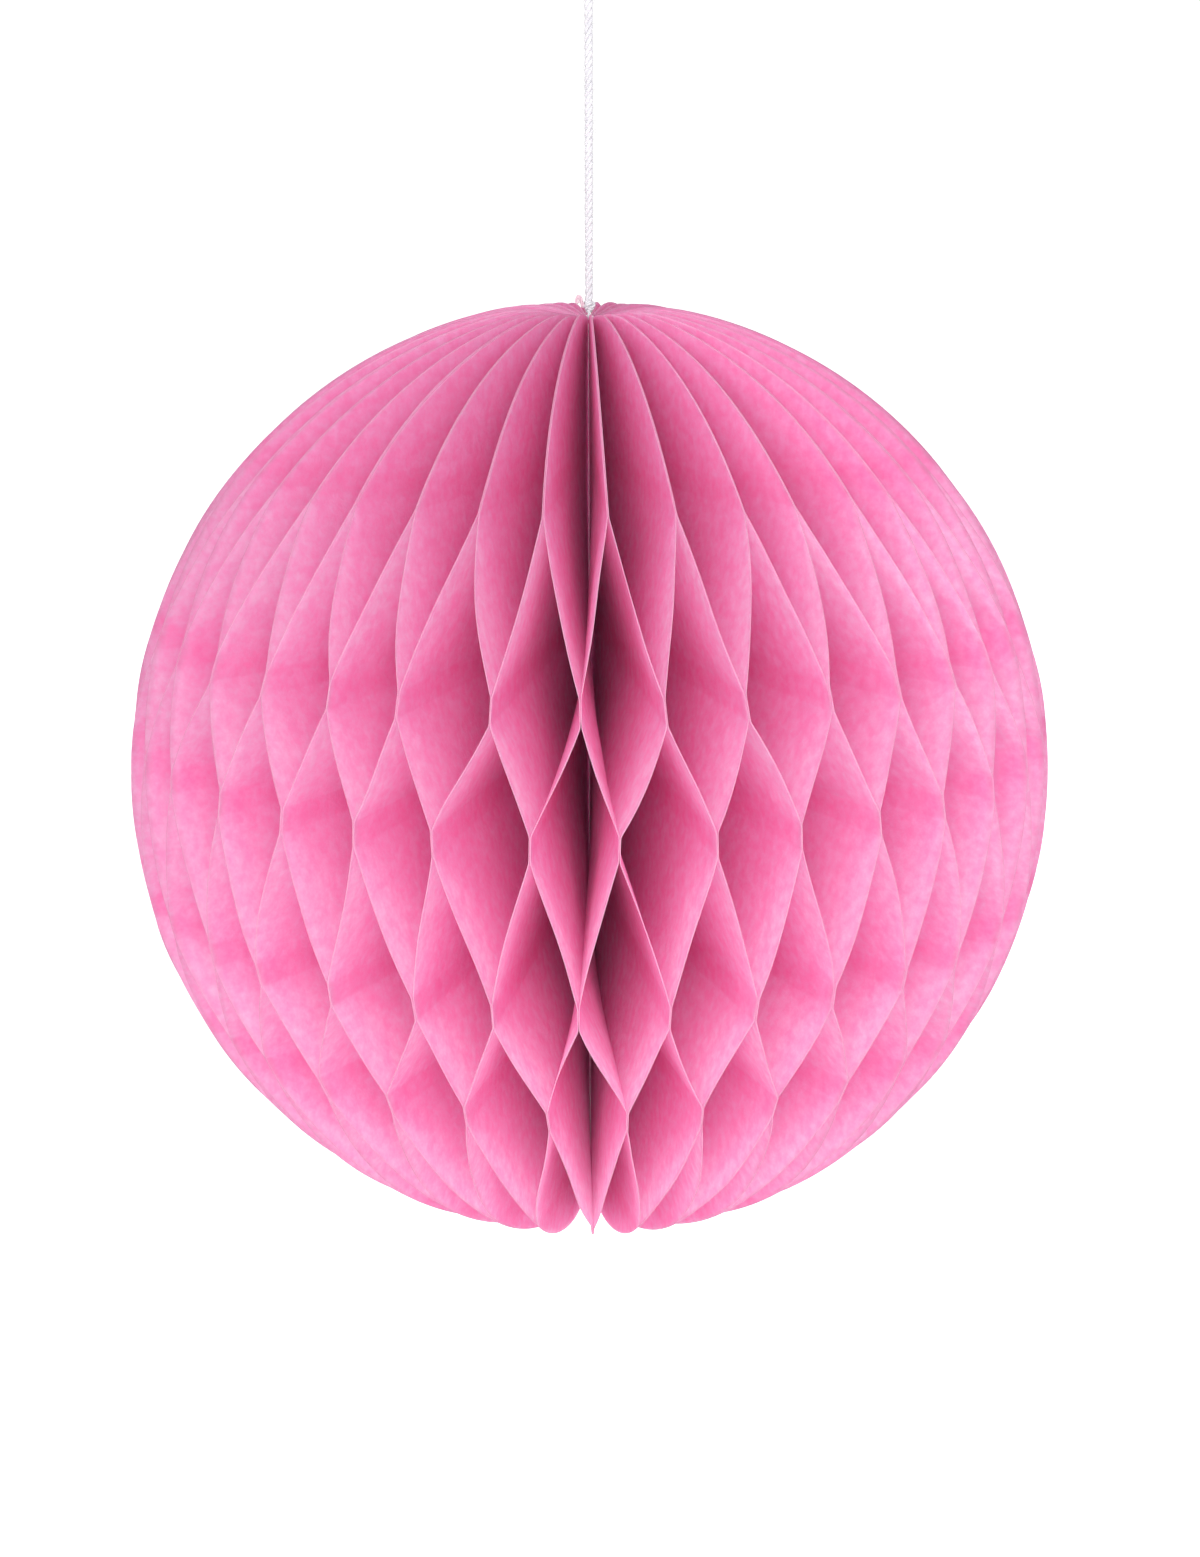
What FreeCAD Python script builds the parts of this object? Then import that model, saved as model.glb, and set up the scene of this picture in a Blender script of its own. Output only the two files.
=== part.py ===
"""A hanging honeycomb ball of tissue paper, modelled open, in millimetres.

Half-disc sheets stand round a stitched spine like the pages of a book. Each sheet is glued to one
neighbour along its A lines and to the other along its B lines, so it zigzags between two planes.
Two sheets that meet on an A plane make one leaf. The two ends of the stack are glued to card covers,
which meet at the back. +Z is up, the front is -Y, and the origin is the top of the hanging loop.
"""
import FreeCAD, Part
import math
import os

# Ball
BALL_RADIUS = 50.0
BALL_TALLNESS = 1.02            # height over width; the sheets are cut a little taller than round
LEAF_COUNT = 36                 # leaf places round the ball; the covers take the last one
PAPER = 0.10                    # sheet with its glue and fuzz
GLUE_GAP = 0.03                 # film between two glued sheets
GLUE_LINE_HEIGHT = 2.4
GLUE_LATITUDES = (44.5, 21.0, 7.0, -12.0, -26.5, -58.0)  # B, A, B, A, B, A from the top
POLE_DIP_DEPTH = 1.8
POLE_DIP_RADIUS = 3.5
PETAL_START = 1.8               # radius where a sheet's round edge leaves the pole
EDGE_POINTS = 5                 # points along each stretch of a sheet's edge
CAP_POINTS = 9                  # points along a cap's round edge
CAP_CROWDING = 1.6              # how much closer those points stand beside the pole
CAP_CLEARANCE = 1.2             # from a wide core to the first point of the round edge beyond it
TOP_STEP = 0.15                 # how far a sheet's corner at the spine stands below its round edge

# Covers
CARD = 0.30
PAD_GAP = 0.20                  # space between the two covers
CARD_INSET = 1.0                # how far the card stops inside the tissue's edge
CARD_SPINE_CLEARANCE = 0.5      # how far the card stops short of where it would meet the last leaf
PAD_RADIUS = 3.0
PAD_CLEARANCE = 0.05
PAD_HEIGHTS = (-27.0, 0.0, 27.0)
PAD_REACH = 33.0                # from the axis to the pads

# Spine and hanging
THREAD_RADIUS = 0.40
SPINE_LOOP_RADIUS = 0.40
SPINE_LOOP_TUBE = 0.13
SPINE_SINK = 1.5                # how far the spine's loop stands below the sheets' inner corners
EYE_RADIUS = 0.62
EYE_TUBE = 0.15
KNOT_LOOP_RADIUS = 0.45
KNOT_LOOP_TUBE = 0.15
LINK_CLEARANCE = 0.04
KNOT_RADIUS = 0.55
CORD_RADIUS = 0.45
CORD_LENGTH = 37.0
TOP_KNOT_RADIUS = 1.3
LOOP_FOOT_OFFSET = 0.455        # from the axis to each end of the loop, inside the top knot
LOOP_FOOT_RISE = 0.78           # from the middle of the top knot up to those ends
HANG_LOOP_LENGTH = 12.0         # inside, from the top knot to the hook
HANG_LOOP_WIDTH = 5.0           # inside

# Worked out from the sizes above
BALL_HALF_HEIGHT = BALL_TALLNESS * BALL_RADIUS
STEP = 360.0 / LEAF_COUNT
HALF_STEP = math.radians(STEP / 2)
PITCH = PAPER + GLUE_GAP
CORE_RADIUS = PITCH / math.sin(HALF_STEP)
COVER_OFFSET = PAD_GAP / 2 + CARD
END_CORE_RADIUS = (PITCH + COVER_OFFSET) / math.sin(HALF_STEP)
CARD_EDGE = COVER_OFFSET / math.sin(HALF_STEP) + CARD_SPINE_CLEARANCE
SIDE_LEAVES = LEAF_COUNT // 2 - 1
GLUE_HEIGHTS = [BALL_HALF_HEIGHT * math.sin(math.radians(a)) for a in GLUE_LATITUDES]

SEWING = 0.001                  # how near two edges lie to be joined
UP = FreeCAD.Vector(0, 0, 1)


def pole_height(radius):
    """How high the sheets reach at this distance from the axis, near the top pole."""
    dip = POLE_DIP_DEPTH * math.exp(-((radius / POLE_DIP_RADIUS) ** 2))
    return BALL_HALF_HEIGHT * math.sqrt(1 - (radius / BALL_RADIUS) ** 2) - dip


def edge_radius(height):
    """Distance from the axis to the sheets' round edge at this height, outside the pole dips."""
    return BALL_RADIUS * math.sqrt(1 - (height / BALL_HALF_HEIGHT) ** 2)


INNER_TOP = pole_height(PETAL_START) - TOP_STEP
SPINE_LOOP_HEIGHT = pole_height(PETAL_START) + SPINE_LOOP_TUBE - SPINE_SINK
EYE_BOTTOM = SPINE_LOOP_HEIGHT + SPINE_LOOP_RADIUS - SPINE_LOOP_TUBE - LINK_CLEARANCE - EYE_TUBE
EYE_HEIGHT = EYE_BOTTOM + EYE_RADIUS
KNOT_LOOP_BOTTOM = EYE_HEIGHT + EYE_RADIUS - EYE_TUBE - LINK_CLEARANCE - KNOT_LOOP_TUBE
KNOT_LOOP_HEIGHT = KNOT_LOOP_BOTTOM + KNOT_LOOP_RADIUS
KNOT_HEIGHT = KNOT_LOOP_HEIGHT + KNOT_LOOP_RADIUS + KNOT_RADIUS
CORD_BOTTOM = KNOT_HEIGHT + KNOT_RADIUS
CORD_TOP = CORD_BOTTOM + CORD_LENGTH
TOP_KNOT_HEIGHT = CORD_TOP + TOP_KNOT_RADIUS
LOOP_BOTTOM = TOP_KNOT_HEIGHT + TOP_KNOT_RADIUS
HOOK_HEIGHT = LOOP_BOTTOM + HANG_LOOP_LENGTH
BALL_CENTRE = FreeCAD.Vector(0, 0, -HOOK_HEIGHT)


def save(name, shape):
    """Move a piece from the ball's own frame to the hook's and write it."""
    placed = shape.copy()
    placed.translate(BALL_CENTRE)
    placed.exportStep("parts/" + name + ".step")


def fold_point(radius, height, share, side, lift, azimuth, offset):
    """A point of a sheet: share runs from 0 on the A plane to 1 on the B plane."""
    a_side = PITCH / 2 + offset
    across = side * (a_side + share * (-PITCH / 2 - a_side)) + lift
    turn = azimuth + side * share * HALF_STEP
    x = radius * math.cos(turn) - across * math.sin(turn)
    y = radius * math.sin(turn) + across * math.cos(turn)
    return FreeCAD.Vector(x, y, height)


def stretches():
    """The sheet's stretches from the top: (upper height, lower height, upper share, lower share)."""
    half = GLUE_LINE_HEIGHT / 2
    rows = []
    for i, height in enumerate(GLUE_HEIGHTS[1:-1], start=1):
        share = 1.0 if i % 2 == 0 else 0.0
        above = GLUE_HEIGHTS[i - 1] - half
        rows.append((above, height + half, 1.0 - share, share))
        rows.append((height + half, height - half, share, share))
    rows.append((GLUE_HEIGHTS[-2] - half, GLUE_HEIGHTS[-1] + half, 1.0, 0.0))
    return rows


def curve(points):
    """One smooth edge through the points."""
    spline = Part.BSplineCurve()
    spline.interpolate(Points=points, Parameters=[float(i) for i in range(len(points))])
    return spline.toShape()


class Sheet:
    """One sheet of tissue as a thin closed solid."""

    def __init__(self, side, azimuth, core, offset):
        self.side = side
        self.azimuth = azimuth
        self.core = core
        self.offset = offset

    def point(self, radius, height, share, lift):
        return fold_point(radius, height, share, self.side, lift, self.azimuth, self.offset)

    def cap_rim(self, height, up, share, lift):
        """Points of the round edge from beside the pole to the first or last glue line."""
        first = math.asin(PETAL_START / BALL_RADIUS)
        last = math.acos(abs(height) / BALL_HALF_HEIGHT)
        rim = []
        for i in range(CAP_POINTS):
            part = (i / (CAP_POINTS - 1.0)) ** CAP_CROWDING
            radius = BALL_RADIUS * math.sin(first + (last - first) * part)
            rim.append(self.point(radius, up * pole_height(radius), share, lift))
        rim[-1] = self.point(edge_radius(height), height, share, lift)
        return rim

    def cap_edges(self, height, up, share, lift):
        """A flat cap's edges in order: inner line, top step if it has one, round edge, glue line."""
        rim = self.cap_rim(height, up, share, lift)
        inner_low = self.point(self.core, height, share, lift)
        if self.core > PETAL_START:
            inner_high = self.point(self.core, up * pole_height(self.core), share, lift)
            beyond = [p for p in rim if math.hypot(p.x, p.y) > self.core + CAP_CLEARANCE]
            rim = [inner_high] + beyond
            edges = [Part.makeLine(inner_low, inner_high)]
        else:
            inner_high = self.point(self.core, up * INNER_TOP, share, lift)
            edges = [Part.makeLine(inner_low, inner_high), Part.makeLine(inner_high, rim[0])]
        return edges + [curve(rim), Part.makeLine(rim[-1], inner_low)]

    def cap_faces(self, height, up, share):
        """Both faces of a cap and the narrow faces round its free edges."""
        low = self.cap_edges(height, up, share, -PAPER / 2)
        high = self.cap_edges(height, up, share, PAPER / 2)
        faces = [Part.Face(Part.Wire(low)), Part.Face(Part.Wire(high))]
        for a, b in zip(low[:-1], high[:-1]):
            faces.append(Part.makeRuledSurface(a, b))
        return faces

    def band_faces(self, top, bottom, top_share, bottom_share):
        """Faces of one stretch between two heights."""
        inner = {}
        outer = {}
        for lift in (-PAPER / 2, PAPER / 2):
            inner_points = []
            outer_points = []
            for i in range(EDGE_POINTS):
                part = i / (EDGE_POINTS - 1.0)
                height = top + part * (bottom - top)
                share = top_share + part * (bottom_share - top_share)
                inner_points.append(self.point(self.core, height, share, lift))
                outer_points.append(self.point(edge_radius(height), height, share, lift))
            inner[lift] = curve(inner_points)
            outer[lift] = curve(outer_points)
        low, high = sorted(inner)
        return [
            Part.makeRuledSurface(inner[low], outer[low]),
            Part.makeRuledSurface(inner[high], outer[high]),
            Part.makeRuledSurface(inner[low], inner[high]),
            Part.makeRuledSurface(outer[low], outer[high]),
        ]

    def solid(self):
        half = GLUE_LINE_HEIGHT / 2
        faces = self.cap_faces(GLUE_HEIGHTS[0] - half, 1, 1.0)
        for stretch in stretches():
            faces += self.band_faces(*stretch)
        faces += self.cap_faces(GLUE_HEIGHTS[-1] + half, -1, 0.0)
        shell = Part.Shell(faces)
        shell.sewShape(SEWING)
        body = Part.Solid(shell)
        body.fix(SEWING, SEWING, SEWING)
        if body.Volume < 0:
            body.reverse()
        return body


def make_leaf(place):
    """Two sheets glued on an A plane; place counts leaves to the right of the front one."""
    azimuth = math.radians(-90.0 + place * STEP)
    return Part.makeCompound([Sheet(s, azimuth, CORE_RADIUS, 0.0).solid() for s in (-1, 1)])


def make_end_sheet(side):
    """The last sheet on one side, glued to the inner face of its cover."""
    azimuth = math.radians(90.0)
    return Sheet(-side, azimuth, END_CORE_RADIUS, COVER_OFFSET).solid()


def make_cover(side):
    """A half disc of card that stands beside the back plane; side 1 is the right one."""
    tall = BALL_HALF_HEIGHT - CARD_INSET
    wide = BALL_RADIUS - CARD_INSET
    height = tall * math.sqrt(1 - (CARD_EDGE / wide) ** 2)
    near = PAD_GAP / 2 if side > 0 else -PAD_GAP / 2 - CARD
    oval = Part.Ellipse(FreeCAD.Vector(near, 0, tall), FreeCAD.Vector(near, wide, 0),
                        FreeCAD.Vector(near, 0, 0))
    top = FreeCAD.Vector(near, CARD_EDGE, height)
    bottom = FreeCAD.Vector(near, CARD_EDGE, -height)
    ends = sorted([oval.parameter(top), oval.parameter(bottom)])
    rim = oval.toShape(*ends)
    if rim.valueAt((rim.FirstParameter + rim.LastParameter) / 2).y < 0:
        rim = oval.toShape(ends[1], ends[0] + 2 * math.pi)
    face = Part.Face(Part.Wire([rim, Part.makeLine(top, bottom)]))
    return face.extrude(FreeCAD.Vector(CARD, 0, 0))


def make_pads():
    """Round sticky pads on the left cover that hold the right one."""
    thick = PAD_GAP - PAD_CLEARANCE
    pads = []
    for height in PAD_HEIGHTS:
        start = FreeCAD.Vector(-PAD_GAP / 2, PAD_REACH, height)
        pads.append(Part.makeCylinder(PAD_RADIUS, thick, start, FreeCAD.Vector(1, 0, 0)))
    return Part.makeCompound(pads)


def make_spine_thread():
    """The stitching thread on the axis with its small loop at the top."""
    bottom = -INNER_TOP
    top = SPINE_LOOP_HEIGHT - SPINE_LOOP_RADIUS
    thread = Part.makeCylinder(THREAD_RADIUS, top - bottom, FreeCAD.Vector(0, 0, bottom), UP)
    loop = Part.makeTorus(SPINE_LOOP_RADIUS, SPINE_LOOP_TUBE,
                          FreeCAD.Vector(0, 0, SPINE_LOOP_HEIGHT), FreeCAD.Vector(1, 0, 0))
    return thread.fuse(loop).removeSplitter()


def make_spine_eye():
    """The small ring that links the spine to the cord's knot."""
    return Part.makeTorus(EYE_RADIUS, EYE_TUBE, FreeCAD.Vector(0, 0, EYE_HEIGHT),
                          FreeCAD.Vector(0, 1, 0))


def make_pole_knot():
    """The cord's lower knot and its tight loop through the eye."""
    loop = Part.makeTorus(KNOT_LOOP_RADIUS, KNOT_LOOP_TUBE,
                          FreeCAD.Vector(0, 0, KNOT_LOOP_HEIGHT), FreeCAD.Vector(1, 0, 0))
    knot = Part.makeSphere(KNOT_RADIUS, FreeCAD.Vector(0, 0, KNOT_HEIGHT))
    return knot.fuse(loop).removeSplitter()


def make_cord():
    """The straight hanging cord between its two knots."""
    return Part.makeCylinder(CORD_RADIUS, CORD_LENGTH, FreeCAD.Vector(0, 0, CORD_BOTTOM), UP)


def make_loop_knot():
    """The knot that closes the hanging loop."""
    return Part.makeSphere(TOP_KNOT_RADIUS, FreeCAD.Vector(0, 0, TOP_KNOT_HEIGHT))


def make_hang_loop():
    """A long closed loop of cord that stands up from its knot; its inner top is the origin."""
    bend = HANG_LOOP_WIDTH / 2 + CORD_RADIUS
    top = HOOK_HEIGHT - HANG_LOOP_WIDTH / 2
    foot = FreeCAD.Vector(LOOP_FOOT_OFFSET, 0, TOP_KNOT_HEIGHT + LOOP_FOOT_RISE)
    reach = math.hypot(foot.x, top - foot.z)
    lean = math.asin(bend / reach) - math.atan2(foot.x, top - foot.z)
    right = FreeCAD.Vector(bend * math.cos(lean), 0, top - bend * math.sin(lean))
    crown = FreeCAD.Vector(0, 0, top + bend)
    left = FreeCAD.Vector(-right.x, 0, right.z)
    other_foot = FreeCAD.Vector(-foot.x, 0, foot.z)
    path = Part.Wire([Part.makeLine(foot, right), Part.Arc(right, crown, left).toShape(),
                      Part.makeLine(left, other_foot)])
    ring = Part.Wire(Part.makeCircle(CORD_RADIUS, foot, right - foot))
    sweep = path.makePipeShell([ring], True, True)
    knot = Part.makeSphere(TOP_KNOT_RADIUS, FreeCAD.Vector(0, 0, TOP_KNOT_HEIGHT))
    return sweep.cut(knot)


def build():
    os.makedirs("parts", exist_ok=True)
    save("leaf_front", make_leaf(0))
    for i in range(1, SIDE_LEAVES + 1):
        save("leaf_right_%02d" % i, make_leaf(i))
        save("leaf_left_%02d" % i, make_leaf(-i))
    for name, side in (("right", 1), ("left", -1)):
        save("end_sheet_" + name, make_end_sheet(side))
        save("cover_" + name, make_cover(side))
    save("sticky_pads", make_pads())
    save("spine_thread", make_spine_thread())
    save("spine_eye", make_spine_eye())
    save("pole_knot", make_pole_knot())
    save("cord", make_cord())
    save("loop_knot", make_loop_knot())
    save("hang_loop", make_hang_loop())


build()
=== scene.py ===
import math
import random

import bmesh
import bpy
from mathutils import Matrix, Vector, noise


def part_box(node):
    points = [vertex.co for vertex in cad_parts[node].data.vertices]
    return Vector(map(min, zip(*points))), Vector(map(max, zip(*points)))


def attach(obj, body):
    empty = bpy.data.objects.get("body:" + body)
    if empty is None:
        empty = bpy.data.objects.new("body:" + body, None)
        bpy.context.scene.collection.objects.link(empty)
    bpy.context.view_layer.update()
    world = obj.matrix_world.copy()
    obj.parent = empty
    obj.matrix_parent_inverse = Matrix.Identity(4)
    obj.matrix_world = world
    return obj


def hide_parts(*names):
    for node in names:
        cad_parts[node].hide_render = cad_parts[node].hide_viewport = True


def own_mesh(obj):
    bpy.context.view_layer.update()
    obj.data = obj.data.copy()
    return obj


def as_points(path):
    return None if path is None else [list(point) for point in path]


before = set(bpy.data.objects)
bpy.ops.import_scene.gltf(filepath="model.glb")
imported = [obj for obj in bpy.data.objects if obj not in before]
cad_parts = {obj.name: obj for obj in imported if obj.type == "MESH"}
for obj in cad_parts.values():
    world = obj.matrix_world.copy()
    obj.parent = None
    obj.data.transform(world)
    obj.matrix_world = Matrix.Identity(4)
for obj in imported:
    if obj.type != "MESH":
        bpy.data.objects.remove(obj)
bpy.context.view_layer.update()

# Sizes in metres, in the same frame as the model.
BALL_RADIUS = 0.050
BALL_HALF_HEIGHT = 0.051
PLACES = 36                      # leaf places round the ball
SIDE_LEAVES = 17
TISSUE = 0.00005                 # sheet thickness
PITCH = 0.00013                  # from the middle of one glued sheet to the middle of the next
GLUE_LINE = 0.0024               # height of a glue line
GLUE_LATITUDES = (44.5, 21.0, 7.0, -12.0, -26.5, -58.0)
POLE_DIP_DEPTH = 0.0016
POLE_DIP_RADIUS = 0.005
PETAL_START = 0.0018
COVER_OFFSET = 0.0004            # from the back plane to a cover's inner face
CORD_RADIUS = 0.00045
STEP = 2 * math.pi / PLACES
HALF_STEP = STEP / 2
CORE_RADIUS = PITCH / math.sin(HALF_STEP)
END_CORE_RADIUS = (PITCH + COVER_OFFSET) / math.sin(HALF_STEP)

cover_low, cover_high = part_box("cover_right")
CENTRE = Vector((0, 0, (cover_low[2] + cover_high[2]) / 2))
GLUE_HEIGHTS = [BALL_HALF_HEIGHT * math.sin(math.radians(a)) for a in GLUE_LATITUDES]

# Camera
CAMERA_DISTANCE = 5.5 * BALL_RADIUS
CAMERA_ELEVATION = math.radians(16.0)
CAMERA_TURN = math.radians(1.0)
LENS = 57.295                    # millimetres, as the sensor is
SENSOR = 36.0
AIM_SHIFT = 0.023 * BALL_RADIUS  # the view is aimed a little right of and below the middle
AIM = Vector((AIM_SHIFT, 0, -AIM_SHIFT))


def add_object(name, mesh):
    obj = bpy.data.objects.new(name, mesh)
    bpy.context.scene.collection.objects.link(obj)
    return obj


# ---------------------------------------------------------------- camera, light and floor

def make_camera():
    data = bpy.data.cameras.new("camera")
    data.sensor_fit = "AUTO"
    data.sensor_width = SENSOR
    data.lens = LENS
    data.clip_start = 0.01
    data.clip_end = 10
    camera = add_object("camera", data)
    target = CENTRE + AIM
    flat = CAMERA_DISTANCE * math.cos(CAMERA_ELEVATION)
    camera.location = target + Vector((flat * math.sin(CAMERA_TURN),
                                       -flat * math.cos(CAMERA_TURN),
                                       CAMERA_DISTANCE * math.sin(CAMERA_ELEVATION)))
    camera.rotation_euler = (target - camera.location).to_track_quat("-Z", "Y").to_euler()
    bpy.context.scene.camera = camera


STUDIO_LIGHT = 0.56              # soft light from all round
BACKDROP_LIGHT = 1.05            # how bright the plain backdrop looks
LIGHTS = (                       # name, place about the ball's centre, size and power in watts
    ("key", (-0.35, -0.75, 0.55), 0.5, 1.3),
    ("front", (0.02, -1.0, 0.28), 0.6, 8.4),
    ("front_left", (-0.62, -0.84, 0.25), 0.5, 1.2),
    ("front_right", (0.66, -0.82, 0.25), 0.5, 1.2),
    ("back", (0.55, 0.75, 0.65), 0.7, 4.2),
)
FLOOR_SIZE = 6.0
FLOOR_DROP = 0.3                 # how far the floor lies below the ball's centre


def add_area(name, place, size, power):
    light = bpy.data.lights.new(name, "AREA")
    light.shape = "SQUARE"
    light.size = size
    light.energy = power
    lamp = add_object(name, light)
    lamp.location = CENTRE + Vector(place)
    lamp.rotation_euler = (CENTRE - lamp.location).to_track_quat("-Z", "Y").to_euler()


def make_studio():
    world = bpy.data.worlds.new("studio")
    world.use_nodes = True
    background = world.node_tree.nodes["Background"]
    background.inputs["Color"].default_value = (1, 1, 1, 1)
    seen = add_node(world.node_tree, "ShaderNodeLightPath").outputs["Is Camera Ray"]
    strength = remap(world.node_tree, seen, 0.0, 1.0, STUDIO_LIGHT, BACKDROP_LIGHT)
    world.node_tree.links.new(strength, background.inputs["Strength"])
    bpy.context.scene.world = world
    bpy.context.scene.view_settings.view_transform = "Standard"
    for name, place, size, power in LIGHTS:
        add_area(name, place, size, power)
    bm = bmesh.new()
    bmesh.ops.create_grid(bm, x_segments=1, y_segments=1, size=FLOOR_SIZE)
    bmesh.ops.translate(bm, verts=bm.verts, vec=(0, 0, CENTRE.z - FLOOR_DROP))
    mesh = bpy.data.meshes.new("floor")
    bm.to_mesh(mesh)
    bm.free()
    floor = add_object("floor", mesh)
    mesh.materials.append(floor_material())


def floor_material():
    material, tree, shader = new_material("pale_floor")
    shader.inputs["Base Color"].default_value = (0.95, 0.95, 0.95, 1)
    shader.inputs["Roughness"].default_value = 0.9
    shader.inputs["Specular IOR Level"].default_value = 0.1
    shader.inputs["Emission Color"].default_value = (1, 1, 1, 1)
    seen = add_node(tree, "ShaderNodeLightPath").outputs["Is Camera Ray"]
    tree.links.new(remap(tree, seen, 0.0, 1.0, 0.35, 0.75), shader.inputs["Emission Strength"])
    return material


# ---------------------------------------------------------------- node helpers

def add_node(tree, kind, **settings):
    node = tree.nodes.new(kind)
    for key, value in settings.items():
        setattr(node, key, value)
    return node


def set_socket(tree, socket, given):
    """Link the socket to another one, or give it a value of its own."""
    if isinstance(given, bpy.types.NodeSocket):
        tree.links.new(given, socket)
    else:
        socket.default_value = given


def feed(tree, node, **values):
    """Set or link a node's inputs by name, with spaces written as underscores."""
    for key, given in values.items():
        set_socket(tree, node.inputs[key.replace("_", " ")], given)


def math_node(tree, operation, *values):
    node = add_node(tree, "ShaderNodeMath", operation=operation)
    for i, given in enumerate(values):
        set_socket(tree, node.inputs[i], given)
    return node.outputs[0]


def remap(tree, value, low, high, to_low=0.0, to_high=1.0):
    node = add_node(tree, "ShaderNodeMapRange", clamp=True)
    for i, given in enumerate((value, low, high, to_low, to_high)):
        set_socket(tree, node.inputs[i], given)
    return node.outputs[0]


def mix_colour(tree, share, a, b):
    node = add_node(tree, "ShaderNodeMix", data_type="RGBA", blend_type="MIX")
    for i, given in ((0, share), (6, a), (7, b)):
        set_socket(tree, node.inputs[i], given)
    return node.outputs[2]


def noise_node(tree, vector, scale, detail=2.0, rough=0.5, distortion=0.0):
    node = add_node(tree, "ShaderNodeTexNoise")
    feed(tree, node, Vector=vector, Scale=scale, Detail=detail, Roughness=rough,
         Distortion=distortion)
    return node.outputs["Fac"]


def new_group(name, inputs, outputs):
    """A shader node group with named sockets; returns the tree and its two end nodes."""
    tree = bpy.data.node_groups.new(name, "ShaderNodeTree")
    for socket_name, kind, value in inputs:
        socket = tree.interface.new_socket(socket_name, in_out="INPUT", socket_type=kind)
        if value is not None:
            socket.default_value = value
    for socket_name, kind in outputs:
        tree.interface.new_socket(socket_name, in_out="OUTPUT", socket_type=kind)
    start = tree.nodes.new("NodeGroupInput")
    end = tree.nodes.new("NodeGroupOutput")
    return tree, start.outputs, end


def place_group(tree, group, **values):
    node = add_node(tree, "ShaderNodeGroup", node_tree=group)
    feed(tree, node, **values)
    return node.outputs


def new_material(name):
    material = bpy.data.materials.new(name)
    material.use_nodes = True
    tree = material.node_tree
    return material, tree, tree.nodes["Principled BSDF"]


# ---------------------------------------------------------------- shared effects

def make_fibre_group():
    """Paper fibre: cloudy thick and thin places, fine fibres, and a few dark specks."""
    group, given, end = new_group(
        "paper_fibre",
        [("Vector", "NodeSocketVector", None), ("Cloud Scale", "NodeSocketFloat", 10.0),
         ("Fibre Scale", "NodeSocketFloat", 60.0), ("Speck Scale", "NodeSocketFloat", 30.0)],
        [("Cloud", "NodeSocketFloat"), ("Fibre", "NodeSocketFloat"), ("Speck", "NodeSocketFloat"),
         ("Height", "NodeSocketFloat")])
    cloud = noise_node(group, given["Vector"], given["Cloud Scale"], 4.0, 0.62)
    stretch = add_node(group, "ShaderNodeMapping")
    feed(group, stretch, Vector=given["Vector"], Scale=(1.0, 0.35, 1.0), Rotation=(0, 0, 0.3))
    fibre = noise_node(group, stretch.outputs[0], given["Fibre Scale"], 3.0, 0.6, 1.5)
    cells = add_node(group, "ShaderNodeTexVoronoi", feature="F1")
    feed(group, cells, Vector=given["Vector"], Scale=given["Speck Scale"])
    size = remap(group, cells.outputs["Color"], 0.86, 1.0, 0.0, 0.075)
    speck = math_node(group, "LESS_THAN", cells.outputs["Distance"], size)
    soft = remap(group, cloud, 0.35, 0.68)
    height = math_node(group, "MULTIPLY_ADD", fibre, 0.6, soft)
    for name, value in (("Cloud", soft), ("Fibre", fibre), ("Speck", speck), ("Height", height)):
        group.links.new(value, end.inputs[name])
    return group


def make_thread_group():
    """Fine twisted fibres that run round a cord or thread."""
    group, given, end = new_group(
        "spun_fibre",
        [("Vector", "NodeSocketVector", None), ("Scale", "NodeSocketFloat", 40.0)],
        [("Shade", "NodeSocketFloat"), ("Height", "NodeSocketFloat")])
    stretch = add_node(group, "ShaderNodeMapping")
    feed(group, stretch, Vector=given["Vector"], Scale=(6.0, 6.0, 1.0))
    fibre = noise_node(group, stretch.outputs[0], given["Scale"], 4.0, 0.6, 0.6)
    cloud = noise_node(group, given["Vector"], given["Scale"], 2.0)
    shade = math_node(group, "MULTIPLY_ADD", cloud, 0.4, fibre)
    group.links.new(shade, end.inputs["Shade"])
    group.links.new(fibre, end.inputs["Height"])
    return group


FIBRE = make_fibre_group()
THREAD = make_thread_group()


# ---------------------------------------------------------------- materials

def sheet_coordinates(tree):
    """The sheet's flat coordinates, alone and with its number as depth so that no two match."""
    flat = add_node(tree, "ShaderNodeUVMap", uv_map="sheet")
    number = add_node(tree, "ShaderNodeAttribute", attribute_name="sheet_number")
    parts = add_node(tree, "ShaderNodeSeparateXYZ")
    tree.links.new(flat.outputs[0], parts.inputs[0])
    joined = add_node(tree, "ShaderNodeCombineXYZ")
    tree.links.new(parts.outputs["X"], joined.inputs["X"])
    tree.links.new(parts.outputs["Y"], joined.inputs["Y"])
    tree.links.new(number.outputs["Fac"], joined.inputs["Z"])
    return flat.outputs[0], joined.outputs[0]


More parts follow.
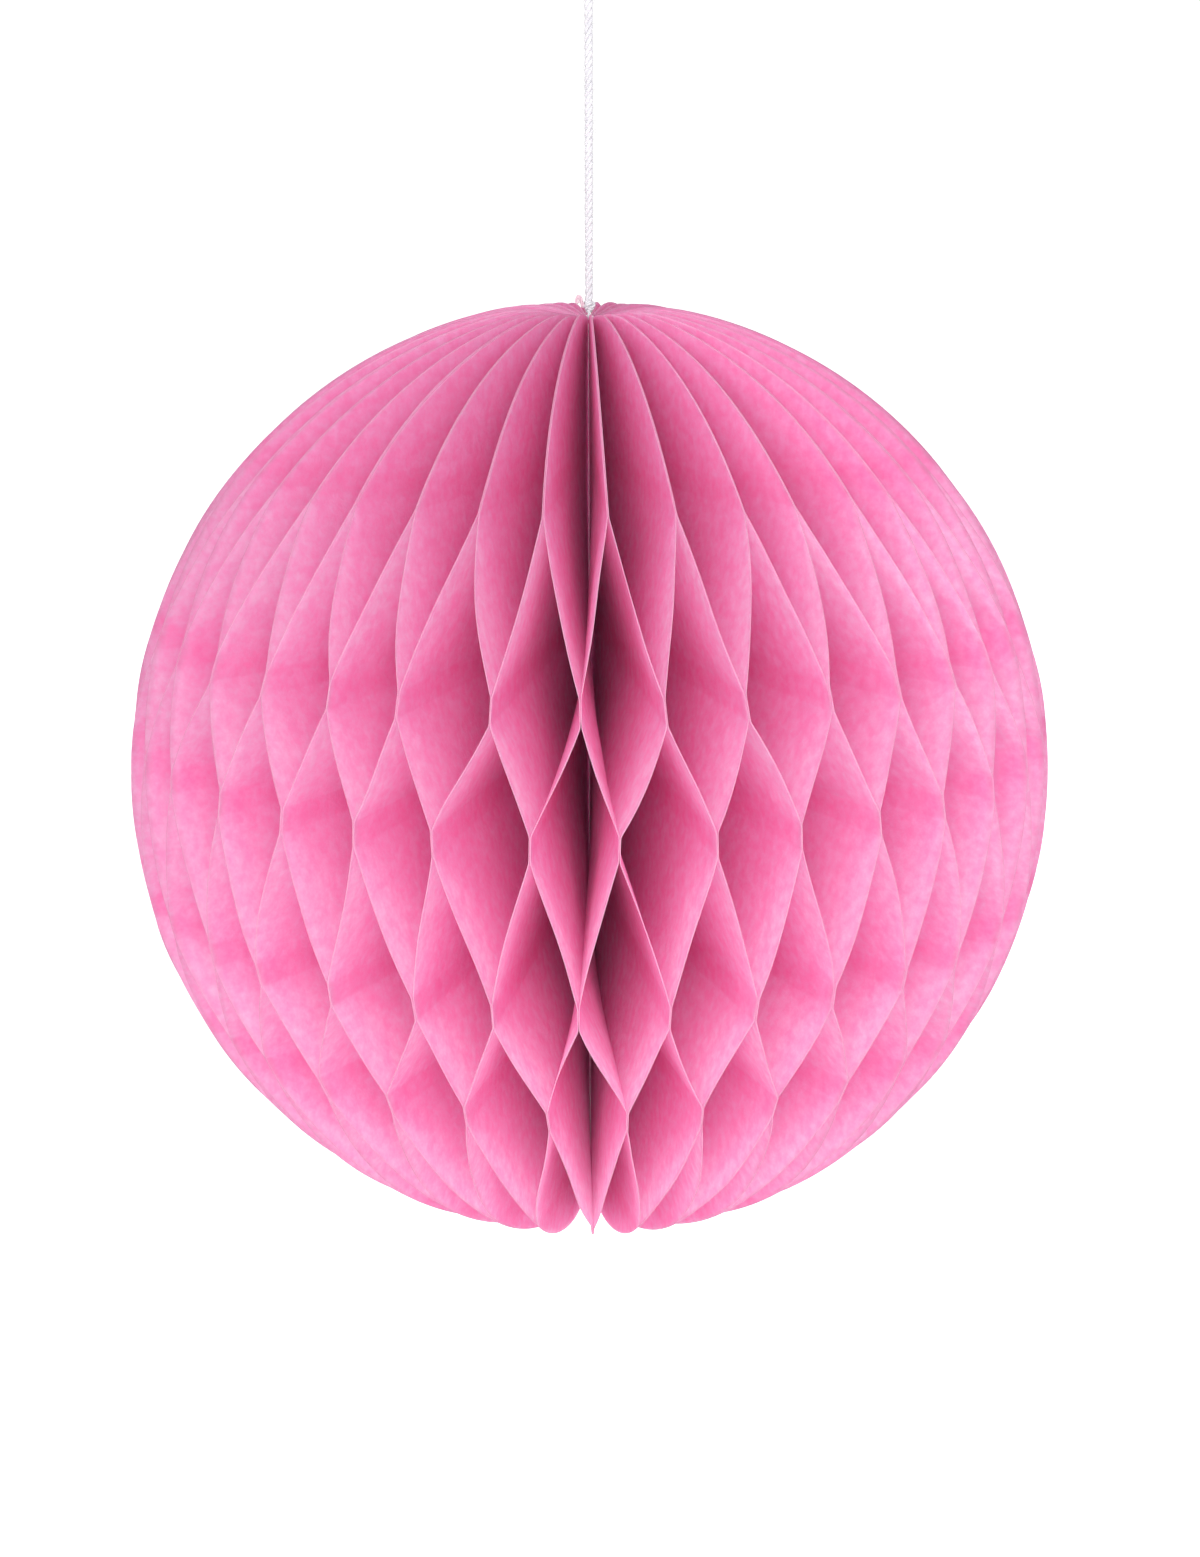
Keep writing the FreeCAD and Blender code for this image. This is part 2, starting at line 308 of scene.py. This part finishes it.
def tissue_material():
    """Thin dyed tissue: cloudy, fibrous, and lit through from behind as one sheet."""
    material, tree, shader = new_material("pink_tissue")
    flat, vector = sheet_coordinates(tree)
    fibre = place_group(tree, FIBRE, Vector=vector, Cloud_Scale=46.0, Fibre_Scale=150.0,
                        Speck_Scale=9.0)
    glue = add_node(tree, "ShaderNodeAttribute", attribute_name="glue").outputs["Fac"]
    length = add_node(tree, "ShaderNodeVectorMath", operation="LENGTH")
    tree.links.new(flat, length.inputs[0])
    # Mask that rises towards the sheet's round edge, where painted light goes
    painted_rim_light = remap(tree, length.outputs["Value"], 0.993, 0.9995)
    broad = remap(tree, noise_node(tree, vector, 5.0, 2.0), 0.3, 0.7)
    base = mix_colour(tree, broad, (0.93, 0.410, 0.715, 1), (0.94, 0.490, 0.780, 1))
    clouded = mix_colour(tree, math_node(tree, "MULTIPLY", fibre["Cloud"], 0.35), base,
                         (0.94, 0.63, 0.83, 1))
    fibred = mix_colour(tree, remap(tree, fibre["Fibre"], 0.5, 0.72, 0.0, 0.14), clouded,
                        (0.95, 0.73, 0.87, 1))
    glued = mix_colour(tree, math_node(tree, "MULTIPLY", glue, 0.12), fibred,
                       (0.92, 0.17, 0.48, 1))
    specked = mix_colour(tree, math_node(tree, "MULTIPLY", fibre["Speck"], 0.75), glued,
                         (0.30, 0.05, 0.12, 1))
    # Paler pink near the round edge: painted light, standing in for light leaking through the
    # sheet at its rim
    rim_light_painted_colour = mix_colour(tree, math_node(tree, "MULTIPLY", painted_rim_light, 0.2), specked,
                       (0.95, 0.66, 0.80, 1))
    bump = add_node(tree, "ShaderNodeBump")
    feed(tree, bump, Strength=0.18, Distance=0.0002, Height=fibre["Height"])
    feed(tree, shader, Base_Color=rim_light_painted_colour, Roughness=0.78, Normal=bump.outputs[0])
    shader.inputs["Specular IOR Level"].default_value = 0.2
    shader.inputs["Sheen Weight"].default_value = 0.1
    shader.inputs["Sheen Roughness"].default_value = 0.5
    glow = add_node(tree, "ShaderNodeBsdfTranslucent")
    thin = math_node(tree, "MULTIPLY", fibre["Cloud"], 0.8)
    through = mix_colour(tree, thin, (0.95, 0.38, 0.64, 1), (0.97, 0.71, 0.87, 1))
    lined = mix_colour(tree, math_node(tree, "MULTIPLY", glue, 0.12), through,
                       (0.92, 0.20, 0.50, 1))
    feed(tree, glow, Color=lined, Normal=bump.outputs[0])
    paper = add_node(tree, "ShaderNodeMixShader")
    paper.inputs[0].default_value = 0.72
    tree.links.new(shader.outputs[0], paper.inputs[1])
    tree.links.new(glow.outputs[0], paper.inputs[2])
    inside = add_node(tree, "ShaderNodeNewGeometry").outputs["Backfacing"]
    clear = add_node(tree, "ShaderNodeBsdfTransparent")
    whole = add_node(tree, "ShaderNodeMixShader")
    tree.links.new(inside, whole.inputs[0])
    tree.links.new(paper.outputs[0], whole.inputs[1])
    tree.links.new(clear.outputs[0], whole.inputs[2])
    tree.links.new(whole.outputs[0], tree.nodes["Material Output"].inputs["Surface"])
    return material


def cut_edge_material():
    material, tree, shader = new_material("cut_edge")
    vector = sheet_coordinates(tree)[1]
    fuzz = noise_node(tree, vector, 200.0, 3.0, 0.6)
    colour = mix_colour(tree, fuzz, (0.60, 0.26, 0.39, 1), (0.72, 0.42, 0.55, 1))
    feed(tree, shader, Base_Color=colour, Roughness=0.9)
    shader.inputs["Specular IOR Level"].default_value = 0.1
    return material


def card_material():
    material, tree, shader = new_material("pink_card")
    place = add_node(tree, "ShaderNodeTexCoord").outputs["Object"]
    fibre = place_group(tree, FIBRE, Vector=place, Cloud_Scale=500.0, Fibre_Scale=2500.0,
                        Speck_Scale=300.0)
    base = mix_colour(tree, fibre["Cloud"], (0.74, 0.12, 0.31, 1), (0.84, 0.20, 0.41, 1))
    fibred = mix_colour(tree, remap(tree, fibre["Fibre"], 0.5, 0.75, 0.0, 0.35), base,
                        (0.93, 0.45, 0.62, 1))
    specked = mix_colour(tree, math_node(tree, "MULTIPLY", fibre["Speck"], 0.6), fibred,
                         (0.35, 0.07, 0.15, 1))
    bump = add_node(tree, "ShaderNodeBump")
    feed(tree, bump, Strength=0.25, Distance=0.0001, Height=fibre["Height"])
    feed(tree, shader, Base_Color=specked, Roughness=0.82, Normal=bump.outputs[0])
    shader.inputs["Specular IOR Level"].default_value = 0.3
    return material


def pad_material():
    material, tree, shader = new_material("foam_pad")
    place = add_node(tree, "ShaderNodeTexCoord").outputs["Object"]
    cells = add_node(tree, "ShaderNodeTexVoronoi")
    feed(tree, cells, Vector=place, Scale=3500.0)
    # Darker at the bottom of each pore, where the bump sinks it: painted shade in the pits,
    # lighter on the ridges
    colour = mix_colour(tree, cells.outputs["Distance"], (0.62, 0.60, 0.56, 1),
                        (0.90, 0.89, 0.86, 1))
    bump = add_node(tree, "ShaderNodeBump")
    feed(tree, bump, Strength=0.5, Distance=0.0001, Height=cells.outputs["Distance"])
    feed(tree, shader, Base_Color=colour, Roughness=0.9, Normal=bump.outputs[0])
    return material


def cotton_material(name, dark, light, scale):
    """Twisted cotton, its fibres read from the piece's own coordinates."""
    material, tree, shader = new_material(name)
    place = add_node(tree, "ShaderNodeTexCoord").outputs["Object"]
    spun = place_group(tree, THREAD, Vector=place, Scale=scale)
    colour = mix_colour(tree, remap(tree, spun["Shade"], 0.45, 0.95), dark, light)
    bump = add_node(tree, "ShaderNodeBump")
    feed(tree, bump, Strength=0.15, Distance=0.00006, Height=spun["Height"])
    feed(tree, shader, Base_Color=colour, Roughness=0.85, Normal=bump.outputs[0])
    shader.inputs["Specular IOR Level"].default_value = 0.2
    shader.inputs["Sheen Weight"].default_value = 0.1
    return material


TISSUE_PAPER = tissue_material()
CUT_EDGE = cut_edge_material()
CARD = card_material()
FOAM = pad_material()
WHITE_COTTON = cotton_material("white_cotton", (0.53, 0.52, 0.555, 1), (0.65, 0.64, 0.67, 1),
                               scale=400.0)
# Whitish cotton given a pink tint: painted bounce light from the pink tissue around it
COTTON_PAINTED_PINK_BOUNCE = cotton_material("cotton_painted_pink_bounce", (0.60, 0.40, 0.47, 1), (0.72, 0.56, 0.62, 1),
                              scale=1500.0)


# ---------------------------------------------------------------- tissue sheets

FOLD_EASE = 0.05                 # how far the sheet eases into its folds, from 0 to 1


def fold_share(height):
    """0 where a sheet lies on its own leaf's plane, 1 where it lies on the plane beside it."""
    half = GLUE_LINE / 2
    if height >= GLUE_HEIGHTS[0] - half:
        return 1.0
    for i in range(1, len(GLUE_HEIGHTS)):
        here = 1.0 if i % 2 == 0 else 0.0
        top = GLUE_HEIGHTS[i - 1] - half
        bottom = GLUE_HEIGHTS[i] + half
        if height > bottom:
            part = (top - height) / (top - bottom)
            soft = part * part * (3 - 2 * part)
            part = (1 - FOLD_EASE) * part + FOLD_EASE * soft
            return (1 - here) + part * (2 * here - 1)
        if height >= GLUE_HEIGHTS[i] - half:
            return here
    return 0.0


ROW_SPACING = 0.0014
FOLD_ROW_STEP = 0.00012          # from a glue line's edge to the grid row on each side of it


def row_angles():
    """Angles from the top pole of the sheet's grid rows, closer together beside each glue line."""
    half = GLUE_LINE / 2
    step = FOLD_ROW_STEP
    marks = [math.asin(PETAL_START / BALL_RADIUS)]
    for height in GLUE_HEIGHTS:
        for level in (height + half + step, height + half - step,
                      height - half + step, height - half - step):
            marks.append(math.acos(level / BALL_HALF_HEIGHT))
    marks.append(math.pi - marks[0])
    counts = []
    for a, b in zip(marks, marks[1:]):
        counts.append(max(1, round((b - a) * BALL_RADIUS / ROW_SPACING)))
    angles = [marks[0]]
    for a, b, n in zip(marks, marks[1:], counts):
        for k in range(1, n + 1):
            angles.append(a + (b - a) * k / n)
    return angles


ROW_ANGLES = row_angles()
COLUMNS = 20
WANDER = math.radians(1.1)       # how far a glued edge strays from its even place
LEAN = math.radians(1.3)         # how far the leaves lean over, from the middle to either pole
BELLY = 0.00045                  # how far a sheet bulges between its glue lines
BELLY_REACH = 0.012              # how far from the core it takes to bulge fully
WANDER_SCALE = 38.0
BELLY_SCALE = 70.0
NOISE_GAIN = 1.6                 # brings the noise's usual range to about 1


def glued_now(height):
    """1 inside a glue line, 0 elsewhere."""
    return 1.0 if any(abs(height - h) <= GLUE_LINE / 2 for h in GLUE_HEIGHTS) else 0.0


def wander(plane, height):
    """A small turn of a glued plane, which changes slowly along its height."""
    if abs(plane) > 2 * SIDE_LEAVES:
        return 0.0
    at = Vector((plane * 7.31, height * WANDER_SCALE, 2.7))
    taper = 1 - (plane / PLACES) ** 2
    return WANDER * noise.noise(at) * NOISE_GAIN - LEAN * taper * height / BALL_HALF_HEIGHT


def sheet_point(place, side, core, offset, radius, height, seed):
    """Where a point of a flat sheet lies in the open ball, about the ball's centre."""
    share = fold_share(height)
    near = wander(2 * place, height) * (0 if offset else 1)
    far = wander(2 * place + side, height)
    turn = -math.pi / 2 + place * STEP + side * share * HALF_STEP
    turn += near * (1 - share) + far * share
    a_side = PITCH / 2 + offset
    across = side * (a_side + share * (-PITCH / 2 - a_side))
    loose = 4 * share * (1 - share) * min(1.0, max(0.0, (radius - core) / BELLY_REACH))
    bulge = noise.noise(Vector((radius * BELLY_SCALE, height * BELLY_SCALE, seed * 3.7)))
    across += BELLY * loose * bulge
    x = radius * math.cos(turn) - across * math.sin(turn)
    y = radius * math.sin(turn) + across * math.cos(turn)
    return CENTRE + Vector((x, y, height))


def outline(angle, trim):
    """Radius and height of the sheet's round edge at this angle from the top pole."""
    radius = BALL_RADIUS * math.sin(angle)
    dip = POLE_DIP_DEPTH * math.exp(-((radius / POLE_DIP_RADIUS) ** 2))
    height = BALL_HALF_HEIGHT * math.cos(angle)
    height -= math.copysign(dip, height)
    return radius * (1 - trim), height * (1 - trim)


TRIM = (-0.002, 0.003)           # share of its size by which a sheet is cut short
TOP_STEP = 0.00015               # how far a sheet's corner at the spine stands below its edge
EDGE_CROWDING = 1.25             # how much closer the grid's columns stand beside the round edge
LEAST_WIDTH = 0.0004


def make_sheet(name, place, side, core, offset, seed):
    bm = bmesh.new()
    rows = len(ROW_ANGLES) - 1
    bmesh.ops.create_grid(bm, x_segments=COLUMNS, y_segments=rows, size=0.5)
    uv = bm.loops.layers.uv.new("sheet")
    glue = bm.verts.layers.float.new("glue")
    number = bm.verts.layers.float.new("sheet_number")
    chance = random.Random(seed)
    trim = chance.uniform(*TRIM)
    flat = {}
    for v in bm.verts:
        column = v.co.x + 0.5
        row = round((v.co.y + 0.5) * rows)
        edge_radius, height = outline(ROW_ANGLES[row], trim)
        limit = outline(ROW_ANGLES[0], trim)[1] - TOP_STEP
        inner = max(-limit, min(limit, height))
        reach = 1 - (1 - column) ** EDGE_CROWDING
        radius = core + reach * (max(edge_radius, core + LEAST_WIDTH) - core)
        level = inner + reach * (height - inner)
        flat[v] = (radius / BALL_RADIUS, level / BALL_HALF_HEIGHT)
        v[glue] = glued_now(level)
        v[number] = seed * 1.37
        v.co = sheet_point(place, side, core, offset, radius, level, seed)
    for face in bm.faces:
        face.smooth = True
        for loop in face.loops:
            loop[uv].uv = flat[loop.vert]
    bmesh.ops.recalc_face_normals(bm, faces=bm.faces)
    mesh = bpy.data.meshes.new(name)
    bm.to_mesh(mesh)
    bm.free()
    mesh.materials.append(TISSUE_PAPER)
    mesh.materials.append(CUT_EDGE)
    sheet = add_object(name, mesh)
    body = sheet.modifiers.new("thickness", "SOLIDIFY")
    body.thickness = TISSUE
    body.offset = 0.0
    body.use_even_offset = False
    body.material_offset_rim = 1
    return sheet


def make_leaf(node, place):
    """Two sheets glued on one plane; each lies in turn on that plane and on the plane beside it.
    """
    for side, word in ((-1, "left"), (1, "right")):
        seed = 2 * place + (side + 1) // 2 + 80
        sheet = make_sheet("%s_%s_sheet" % (node, word), place, side, CORE_RADIUS, 0.0, seed)
        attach(sheet, node)
        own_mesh(sheet)
        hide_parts(node)


def make_end_sheet(word, side):
    """The last sheet on one side, glued to its card cover along every other glue line."""
    place = side * (SIDE_LEAVES + 1)
    sheet = make_sheet("end_sheet_%s_tissue" % word, place, -side, END_CORE_RADIUS, COVER_OFFSET,
                       200 + side)
    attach(sheet, "cover_" + word)
    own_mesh(sheet)
    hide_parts("end_sheet_" + word)


def make_tissue():
    make_leaf("leaf_front", 0)
    for i in range(1, SIDE_LEAVES + 1):
        make_leaf("leaf_right_%02d" % i, i)
        make_leaf("leaf_left_%02d" % i, -i)
    make_end_sheet("right", 1)
    make_end_sheet("left", -1)


# ---------------------------------------------------------------- cord, knots and thread

def smooth_line(points):
    """Points read from a smooth curve that these points pull into shape."""
    data = bpy.data.curves.new("guide", "CURVE")
    data.dimensions = "3D"
    spline = data.splines.new("NURBS")
    spline.points.add(len(points) - 1)
    for target, point in zip(spline.points, points):
        target.co = (*point, 1)
    spline.order_u = 3
    spline.use_endpoint_u = True
    spline.resolution_u = 12
    guide = bpy.data.objects.new("guide", data)
    mesh = bpy.data.meshes.new_from_object(guide)
    line = [v.co.copy() for v in mesh.vertices]
    bpy.data.objects.remove(guide)
    bpy.data.meshes.remove(mesh)
    return line


CORD_SPACING = 0.00012           # between the points that a strand follows
FINE_SPACING = 0.00008


def even_line(line, spacing=CORD_SPACING):
    """The same line with its points evenly spaced."""
    out = [line[0].copy()]
    left = spacing
    for a, b in zip(line, line[1:]):
        length = (b - a).length
        at = 0.0
        while length - at >= left:
            at += left
            out.append(a.lerp(b, at / length))
            left = spacing
        left -= length - at
    if (out[-1] - line[-1]).length > spacing * 0.3:
        out.append(line[-1].copy())
    return out


def strand_paths(line, radius, turns_per_metre, count):
    """Strands twisted about a line, each at this distance from it."""
    paths = [[] for _ in range(count)]
    normal = None
    travelled = 0.0
    for i, point in enumerate(line):
        ahead = line[min(i + 1, len(line) - 1)]
        behind = line[max(i - 1, 0)]
        along = (ahead - behind).normalized()
        if normal is None:
            normal = along.orthogonal().normalized()
        normal = (normal - along * normal.dot(along)).normalized()
        other = along.cross(normal)
        if i:
            travelled += (point - line[i - 1]).length
        for k in range(count):
            turn = 2 * math.pi * (travelled * turns_per_metre + k / count)
            paths[k].append(point + (normal * math.cos(turn) + other * math.sin(turn)) * radius)
    return paths


def sweep_tube(bm, path, radius, sides=8):
    """Carry a ring of vertices along a path and bridge it ring by ring."""
    rings = []
    normal = None
    for i, point in enumerate(path):
        ahead = path[min(i + 1, len(path) - 1)]
        behind = path[max(i - 1, 0)]
        along = (ahead - behind).normalized()
        if normal is None:
            normal = along.orthogonal().normalized()
        normal = (normal - along * normal.dot(along)).normalized()
        turn = Matrix((normal, along.cross(normal), along)).transposed().to_4x4()
        ring = bmesh.ops.create_circle(bm, cap_ends=False, segments=sides, radius=radius,
                                       matrix=Matrix.Translation(point) @ turn)["verts"]
        rings.append(ring)
    for a, b in zip(rings, rings[1:]):
        for k in range(sides):
            bm.faces.new((a[k], a[(k + 1) % sides], b[(k + 1) % sides], b[k]))
    for ring in (rings[0], rings[-1]):
        bm.faces.new(ring)


def finish_mesh(name, bm, material):
    bmesh.ops.recalc_face_normals(bm, faces=bm.faces)
    for face in bm.faces:
        face.smooth = True
    mesh = bpy.data.meshes.new(name)
    bm.to_mesh(mesh)
    bm.free()
    mesh.materials.append(material)
    return add_object(name, mesh)


STRAND_COUNT = 3
STRAND_SHARE = 0.52              # strand radius as a share of the cord's radius
TWIST = 420.0                    # turns per metre


def add_twisted(bm, line, radius):
    """A cord of three strands twisted about a line."""
    strand = radius * STRAND_SHARE
    for path in strand_paths(line, radius - strand, TWIST, STRAND_COUNT):
        sweep_tube(bm, path, strand)


FUZZ_RADIUS = 0.000012


def add_fuzz(bm, line, radius, count, seed):
    """Short stray fibres that stand out of a cord."""
    chance = random.Random(seed)
    for _ in range(count):
        at = chance.randrange(2, len(line) - 2)
        along = (line[at + 1] - line[at]).normalized()
        out = along.orthogonal().normalized()
        out.rotate(Matrix.Rotation(chance.uniform(0, 2 * math.pi), 3, along))
        root = line[at] + out * radius * 0.7
        reach = chance.uniform(0.00025, 0.0006)
        bend = along * chance.uniform(-0.0005, 0.0005)
        tip = root + out * reach + bend
        middle = root + out * reach * 0.7 + bend * 0.3
        sweep_tube(bm, [root, middle, tip], FUZZ_RADIUS, 3)


def make_cord():
    """The straight hanging cord between the knot at the pole and the knot of its loop."""
    low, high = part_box("cord")
    bottom, top = low[2], high[2]
    route = [(0, 0, bottom), (0, 0, bottom + 0.009), (0, 0, bottom + 0.0185),
             (0, 0, bottom + 0.028), (0, 0, top)]
    line = even_line(smooth_line(route))
    bm = bmesh.new()
    add_twisted(bm, line, CORD_RADIUS)
    add_fuzz(bm, line, CORD_RADIUS, 70, 5)
    cord = finish_mesh("twisted_cord", bm, WHITE_COTTON)
    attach(cord, "hanging_cord")
    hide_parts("cord")
    return cord, line, bottom, top


KNOT_STEPS = 90


def knot_line(radius, centre, lean):
    """A closed line that goes twice round and three times over, like a small overhand knot."""
    line = []
    for i in range(KNOT_STEPS):
        t = 2 * math.pi * i / KNOT_STEPS
        ring = radius * (0.62 + 0.34 * math.cos(3 * t))
        line.append(centre + Vector((ring * math.cos(2 * t), ring * math.sin(2 * t) * 0.95,
                                     radius * lean * math.sin(3 * t))))
    line.append(line[0].copy())
    return line


def make_loop_knot():
    low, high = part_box("loop_knot")
    centre = Vector(((low[0] + high[0]) / 2, (low[1] + high[1]) / 2, (low[2] + high[2]) / 2))
    radius = (high[0] - low[0]) / 2
    bm = bmesh.new()
    line = even_line(smooth_line(knot_line(radius - CORD_RADIUS * 0.4, centre, 0.62)))
    add_twisted(bm, line, CORD_RADIUS)
    knot = finish_mesh("loop_knot_cord", bm, WHITE_COTTON)
    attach(knot, "hanging_cord")
    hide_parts("loop_knot")
    return knot


def make_hang_loop(knot_centre):
    low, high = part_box("hang_loop")
    wide = (high[0] - low[0]) / 2 - CORD_RADIUS
    top = high[2] - CORD_RADIUS
    foot = knot_centre.z
    tall = top - foot
    side = [(0.0003, 0, foot), (wide * 0.35, 0, foot + tall * 0.25),
            (wide * 0.78, 0, foot + tall * 0.5),
            (wide * 1.04, 0, foot + tall * 0.74), (wide * 0.92, 0, foot + tall * 0.93),
            (wide * 0.42, 0, top + 0.00012)]
    other = [(-x, y, z) for x, y, z in reversed(side)]
    line = even_line(smooth_line(side + other))
    bm = bmesh.new()
    add_twisted(bm, line, CORD_RADIUS)
    add_fuzz(bm, line, CORD_RADIUS, 30, 6)
    loop = finish_mesh("hanging_loop_cord", bm, WHITE_COTTON)
    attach(loop, "hanging_cord")
    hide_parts("hang_loop")
    return loop


KNOT_STRAND = 0.00028            # radius of the cord where it is pulled tight in the lower knot
KNOT_LOOP_STRAND = 0.00015
END_STRAND = 0.00022             # radius of the lower knot's loose end


def make_pole_knot():
    """The lower knot with the cord running down through it, and the tight loop through the eye."""
    low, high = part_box("pole_knot")
    cord_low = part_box("cord")[0][2]
    radius = (high[0] - low[0]) / 2
    centre = Vector((0, 0, cord_low - radius))
    bm = bmesh.new()
    line = even_line(smooth_line(knot_line(radius - 0.0001, centre, 0.6)), FINE_SPACING)
    add_twisted(bm, line, KNOT_STRAND)
    core = [(0, 0, cord_low + 0.0002), (0, 0, centre.z), (0, 0, centre.z - radius * 1.3)]
    add_twisted(bm, even_line(smooth_line(core), FINE_SPACING), CORD_RADIUS * 0.85)
    ring_top = centre.z - radius
    reach = (ring_top - low[2]) / 2 - KNOT_LOOP_STRAND / 2
    ring = []
    for i in range(25):
        t = 2 * math.pi * i / 24
        ring.append(Vector((0, reach * math.sin(t), ring_top - reach + reach * math.cos(t))))
    add_twisted(bm, even_line(smooth_line(ring), FINE_SPACING), KNOT_LOOP_STRAND)
    knot = finish_mesh("pole_knot_cord", bm, WHITE_COTTON)
    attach(knot, "pole_knot")
    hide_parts("pole_knot")


def make_knot_end():
    """The lower knot's loose end, which stands up beside the cord and curls over."""
    low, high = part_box("pole_knot")
    cord_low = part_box("cord")[0][2]
    middle = cord_low - (high[0] - low[0]) / 2
    route = [(-0.00015, 0.0, middle), (-0.00062, -0.00010, middle - 0.00020),
             (-0.00078, -0.00015, middle + 0.00025), (-0.00084, -0.00015, middle + 0.00075),
             (-0.00118, -0.00015, middle + 0.00098), (-0.00134, -0.00015, middle + 0.00055),
             (-0.00118, -0.00020, middle + 0.00022)]
    bm = bmesh.new()
    add_twisted(bm, even_line(smooth_line(route), FINE_SPACING), END_STRAND)
    # Its pink tint is painted bounce light from the tissue, on whitish cotton
    end = finish_mesh("pole_knot_end", bm, COTTON_PAINTED_PINK_BOUNCE)
    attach(end, "pole_knot")


def paint_cad():
    """Materials for the CAD nodes that keep their own shape."""
    # The spine thread and eye are whitish cotton with painted pink bounce light
    for node, material in (("cover_right", CARD), ("cover_left", CARD), ("sticky_pads", FOAM),
                           ("spine_thread", COTTON_PAINTED_PINK_BOUNCE), ("spine_eye", COTTON_PAINTED_PINK_BOUNCE)):
        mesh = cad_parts[node].data
        mesh.materials.clear()
        mesh.materials.append(material)


make_camera()
cord, cord_line, cord_bottom, cord_top = make_cord()
loop_knot = make_loop_knot()
knot_low, knot_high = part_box("loop_knot")
hang_loop = make_hang_loop((Vector(knot_low) + Vector(knot_high)) / 2)
make_pole_knot()
make_knot_end()
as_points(cord_line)
make_tissue()
paint_cad()
make_studio()
